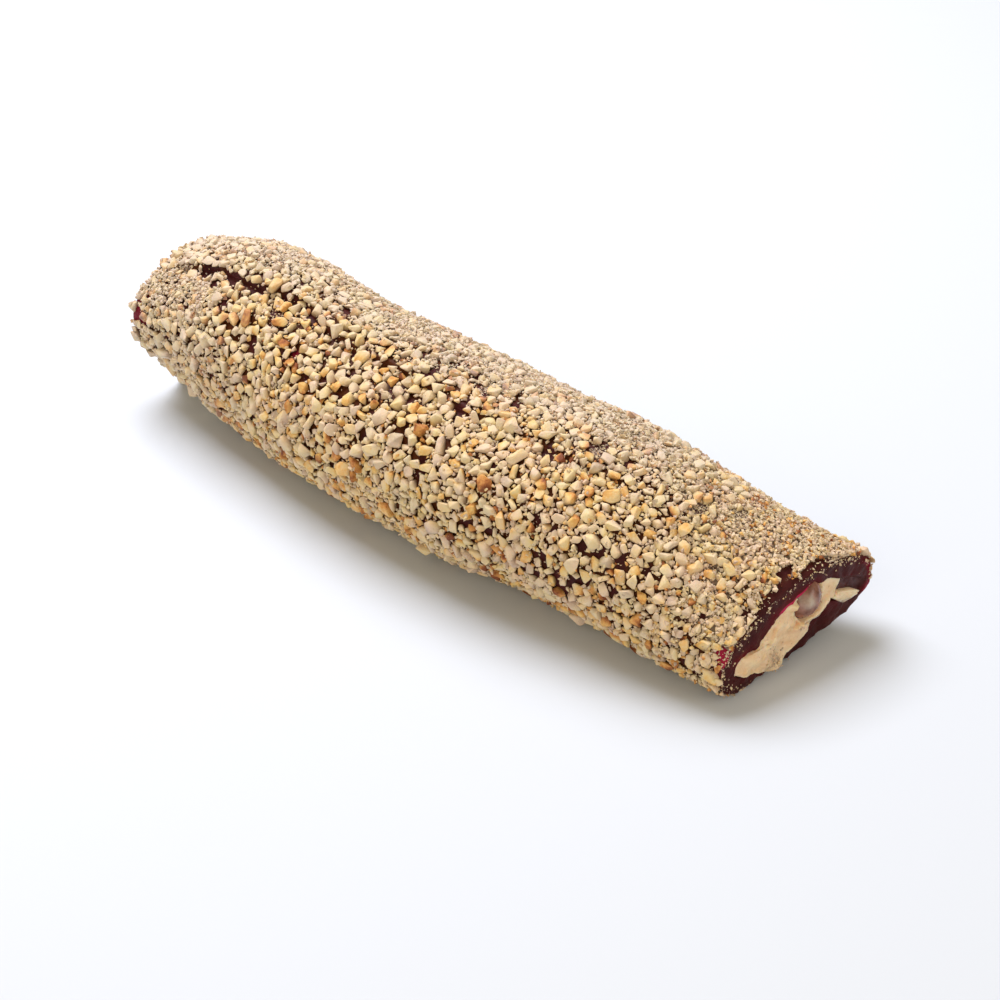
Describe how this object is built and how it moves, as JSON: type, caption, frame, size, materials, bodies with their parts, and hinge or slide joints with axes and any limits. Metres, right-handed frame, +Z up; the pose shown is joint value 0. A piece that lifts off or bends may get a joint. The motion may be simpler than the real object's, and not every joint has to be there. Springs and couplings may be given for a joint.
{
  "type": "hazelnut turkish delight roll",
  "caption": "Long uncut roll of dark fruit jelly round hazelnut cream, pressed full of chopped hazelnuts, with a cut end showing cream and a kernel.",
  "frame": {"origin": "middle of the box round the roll, at the surface it rests on", "axes": "+X along the roll, towards the end that the knife pressed flat; +Z up"},
  "size_m": [0.2539, 0.0775, 0.0586],
  "materials": {
    "jelly": "glossy dark plum jelly under pale chopped nuts",
    "cream": "smooth, knife cut",
    "hazelnut": "thin brown skin, part covered by cream"
  },
  "bodies": {
    "root": {"jelly_wrap": "jelly", "cream_core": "cream", "hazelnut_right": "hazelnut", "hazelnut_left": "hazelnut"}
  },
  "joints": []
}
